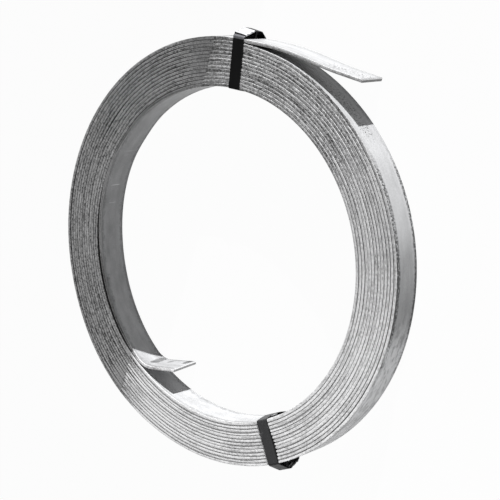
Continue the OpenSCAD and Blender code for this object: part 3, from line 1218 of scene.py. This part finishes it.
def sheared_end_material(strip):
    """Sheared steel of the strip's two cut ends: lined, and burnished along one face."""
    material, shader = new_material("sheared_end", {"Metallic": 0.5, "Roughness": 0.5})
    place = flat_place(material.node_tree)
    sheared = effect("rolling_lines", place, Density=1600.0)
    parts = split(place)
    above = maths("SIGN", parts["X"] - 1.0) * parts["Z"]
    tone = 0.35 + 0.15 * sheared["Tone"] + 0.9 * ramp(above, 0.2 * MM, 1.0 * MM)
    normal = bumped(sheared["Height"], 0.0001)
    give(shader, {"Base Color": tinted(strip.edge_zinc, tone), "Normal": normal})
    return material


def strap_material(name, lacquer, whole, side, straps):
    """Dark lacquered strapping, with fine grain, scuffs and worn edges.

    The upper strap, on side -1, has a painted highlight on its bend between the rim and its seal.
    The lower strap, on side 1, has painted shade along the edge that stands off the coil.
    """
    surface = {"Metallic": 0.1, "Specular IOR Level": 0.3}
    material, shader = new_material(name + "_lacquer", surface)
    place = flat_place(material.node_tree)
    parts = split(place)
    grain = effect("zinc_grain", place, Scale=900.0)
    film = effect("zinc_film", place, Scale=120.0, Rarity=0.58)
    start = straps.width / 2 * 0.97
    worn = effect("ragged_margin", place, Start=start, Ragged=0.3 * MM, Scale=700.0)
    tone = 1.0 + 0.35 * grain["Tone"] + 1.2 * film["Stain"] + worn["Mask"]
    if side < 0:
        # Painted highlight on the bend before the lap
        tone += 22.0 * window(parts["X"], whole - 5.5 * MM, whole - 0.7 * MM, 0.3 * MM)
    else:
        # Painted shade along the edge that stands off the coil
        tone *= 1.0 - 0.85 * ramp(parts["Y"], -6.8 * MM, -7.3 * MM)
    finish = {
        "Base Color": tinted(lacquer, tone),
        "Roughness": 0.5 + 0.08 * film["Tone"],
        "Normal": bumped(grain["Height"], 0.00005),
    }
    give(shader, finish)
    return material


def seal_material(name, zinc):
    """Zinc sheet of a seal, scuffed by the crimping tool."""
    material, shader = new_material(name, {"Metallic": 0.4})
    place = flat_place(material.node_tree)
    grain = effect("zinc_grain", place, Scale=900.0)
    film = effect("zinc_film", place, Scale=150.0, Rarity=0.55)
    finish = {
        "Base Color": tinted(zinc, 1.0 + 0.08 * grain["Tone"] - 0.3 * film["Stain"]),
        "Roughness": 0.4 + 0.08 * film["Tone"],
        "Normal": bumped(grain["Height"], 0.00005),
    }
    give(shader, finish)
    return material


def floor_material(whiteness):
    """A pale matt floor that rays from the camera and from gloss see almost white."""
    surface = {"Base Color": (0.5, 0.5, 0.5, 1), "Roughness": 0.9}
    material, shader = new_material("pale_floor", surface)
    tree = material.node_tree
    path = put(tree, "ShaderNodeLightPath")
    seen = maths("MAXIMUM", path["Is Camera Ray"], path["Is Glossy Ray"])
    seen = maths("MAXIMUM", seen, path["Is Transmission Ray"])
    white = put(tree, "ShaderNodeEmission", {"Color": (1, 1, 1, 1), "Strength": 1.0})[0]
    mixed = {0: seen * whiteness, 1: outputs(shader)[0], 2: white}
    surface = put(tree, "ShaderNodeMixShader", mixed)[0]
    give(tree.nodes["Material Output"], {"Surface": surface})
    return material


# ---------- Stage ----------


def place_camera(stage):
    """Puts the camera on its line of sight to the aim, turned about it by the roll."""
    data = bpy.data.cameras.new("view_camera")
    data.lens = stage.lens
    data.clip_start = 0.05
    data.clip_end = 200
    turned = (
        Matrix.Rotation(stage.azimuth, 4, "Z")
        @ Matrix.Rotation(HALF_TURN / 2 - stage.elevation, 4, "X")
        @ Matrix.Rotation(stage.roll, 4, "Z")
    )
    aim = Vector((20.3 * MM, 2.6 * MM, 3.2 * MM))
    camera = bpy.data.objects.new("view_camera", data)
    camera.matrix_world = Matrix.Translation(aim + turned.col[2].xyz * stage.distance) @ turned
    bpy.context.scene.collection.objects.link(camera)
    bpy.context.scene.camera = camera


def place_key(stage):
    """A far spot light, low over the floor, whose cone ends on a line across the coil.

    The line runs from twelve o'clock to the inner bend. The spot's axis is turned away
    from it by half the cone's angle, so the coil's left side gets only the sky's light.
    """
    half_cone = math.radians(30)
    far = 12
    upper = Vector((0, LIGHT_LINE_Y, 40 * MM))
    lower = Vector((-160 * MM, -145 * MM, 40 * MM))
    towards = Vector((0.275, 0.941, 0.200)).normalized()
    source = (upper + lower) / 2 + towards * far
    edge_normal = (upper - source).cross(lower - source).normalized()
    edge_normal *= math.copysign(1, edge_normal.x)
    aim = -towards * math.cos(half_cone) + edge_normal * math.sin(half_cone)
    data = bpy.data.lights.new("key", "SPOT")
    data.energy = stage.key
    data.shadow_soft_size = stage.key_size
    data.spot_size = 2 * half_cone
    data.spot_blend = 0.0004
    lamp = bpy.data.objects.new("key", data)
    lamp.location = source
    lamp.rotation_euler = aim.to_track_quat("-Z", "Y").to_euler()
    bpy.context.scene.collection.objects.link(lamp)


def place_fill(stage):
    """A soft square lamp over the coil's near side, which looks at its middle."""
    data = bpy.data.lights.new("fill", "AREA")
    data.energy = stage.fill
    data.size = 0.25
    lamp = bpy.data.objects.new("fill", data)
    lamp.location = (0.36, -0.32, 0.5)
    lamp.visible_camera = False
    lamp.rotation_euler = Vector(lamp.location).to_track_quat("Z", "Y").to_euler()
    bpy.context.scene.collection.objects.link(lamp)


class COIL_OT_add_stage(bpy.types.Operator):
    """Adds the camera, the pale floor, the lamps and the sky"""

    bl_idname = "coil.add_stage"
    bl_label = "Add Stage"

    def execute(self, context):
        stage = context.scene.stage_settings
        place_camera(stage)
        reach = 40.0
        corners = np.array([[-1, -1, 0], [1, -1, 0], [1, 1, 0], [-1, 1, 0]]) * reach
        mesh = bpy.data.meshes.new("floor")
        mesh.from_pydata(corners, [], [[0, 1, 2, 3]])
        mesh.materials.append(floor_material(stage.whiteness))
        floor = bpy.data.objects.new("floor", mesh)
        context.scene.collection.objects.link(floor)
        place_key(stage)
        place_fill(stage)
        world = bpy.data.worlds.new("even_sky")
        world.use_nodes = True
        sky = world.node_tree.nodes["Background"]
        sky.inputs["Color"].default_value = (1, 1, 1, 1)
        sky.inputs["Strength"].default_value = stage.sky
        context.scene.world = world
        context.scene.view_settings.view_transform = "Standard"
        return {"FINISHED"}


# ---------- Panel and registration ----------


class COIL_PT_tools(bpy.types.Panel):
    """Lists the coil's pieces"""

    bl_idname = "COIL_PT_tools"
    bl_label = "Strip Coil"
    bl_space_type = "VIEW_3D"
    bl_region_type = "UI"
    bl_category = "Strip Coil"

    def draw(self, context):
        for operator in OPERATORS:
            self.layout.operator(operator.bl_idname)


SETTINGS = {
    "strip_settings": StripSettings,
    "strap_settings": StrapSettings,
    "stage_settings": StageSettings,
}
OPERATORS = (COIL_OT_add_stage, COIL_OT_add_strip, COIL_OT_add_straps, COIL_OT_add_seals)
CLASSES = (*SETTINGS.values(), *OPERATORS, COIL_PT_tools)


def register():
    for cls in CLASSES:
        bpy.utils.register_class(cls)
    for name, group in SETTINGS.items():
        setattr(bpy.types.Scene, name, PointerProperty(type=group))


def unregister():
    for name in SETTINGS:
        delattr(bpy.types.Scene, name)
    for cls in reversed(CLASSES):
        bpy.utils.unregister_class(cls)


def main():
    register()
    bpy.ops.coil.add_stage()
    bpy.ops.coil.add_strip()
    bpy.ops.coil.add_straps()
    bpy.ops.coil.add_seals()


if __name__ == "__main__":
    main()
